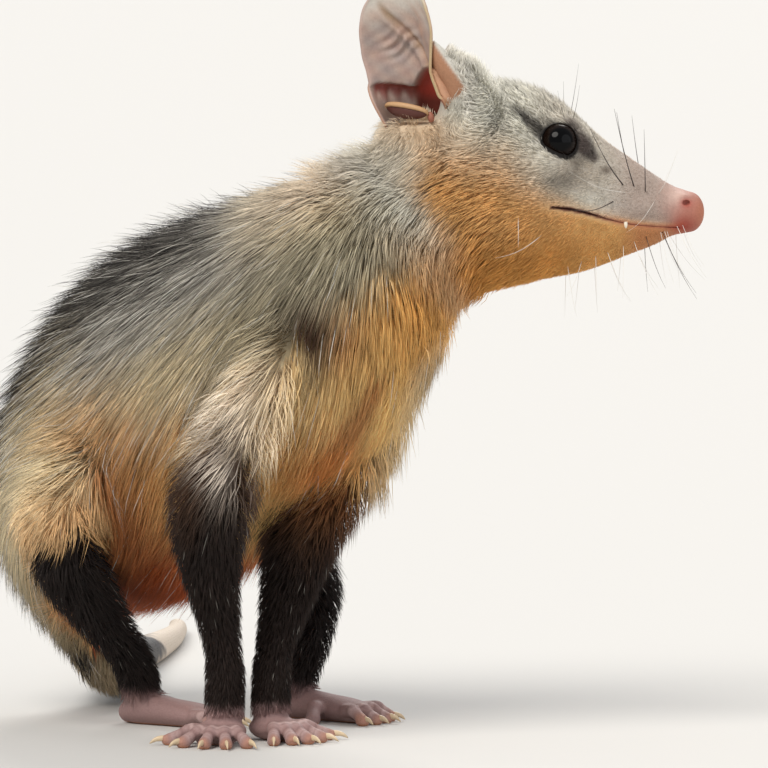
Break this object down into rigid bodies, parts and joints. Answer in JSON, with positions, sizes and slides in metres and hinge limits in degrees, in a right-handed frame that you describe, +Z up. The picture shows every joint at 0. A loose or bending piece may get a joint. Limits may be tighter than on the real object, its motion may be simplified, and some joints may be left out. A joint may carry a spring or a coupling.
{
  "type": "white-eared opossum",
  "caption": "Life-size still opossum standing crouched on its feet, head raised and turned, ears up, pale grizzled coat, dark legs and a bare tail laid on the floor.",
  "frame": {"origin": "middle of the whole model's outline on the floor that it stands on", "axes": "+Z up, +X the way the muzzle points, +Y the way the tail lies along the floor"},
  "size_m": [0.2455, 0.4327, 0.2608],
  "materials": {
    "coat": "cream and grey fur with dark tips, orange underneath",
    "leg_fur": "short brown-black fur with a few white hairs",
    "bare_skin": "bare pink skin, fine creases, slightly moist",
    "tail_skin": "scaly bare skin, dark at the root and pale towards the tip",
    "eye": "wet, almost black"
  },
  "bodies": {
    "root": {"head": "coat", "muzzle_pad": "bare_skin", "ear_right": "bare_skin", "ear_left": "bare_skin", "eye_right": "eye", "eye_left": "eye", "neck": "coat", "torso": "coat", "foreleg_right": "leg_fur", "foreleg_left": "leg_fur", "hindleg_right": "leg_fur", "hindleg_left": "leg_fur", "forefoot_right": "bare_skin", "forefoot_left": "bare_skin", "hindfoot_right": "bare_skin", "hindfoot_left": "bare_skin", "tail_base": "tail_skin", "tail_middle": "tail_skin", "tail_tip": "tail_skin"}
  },
  "joints": []
}
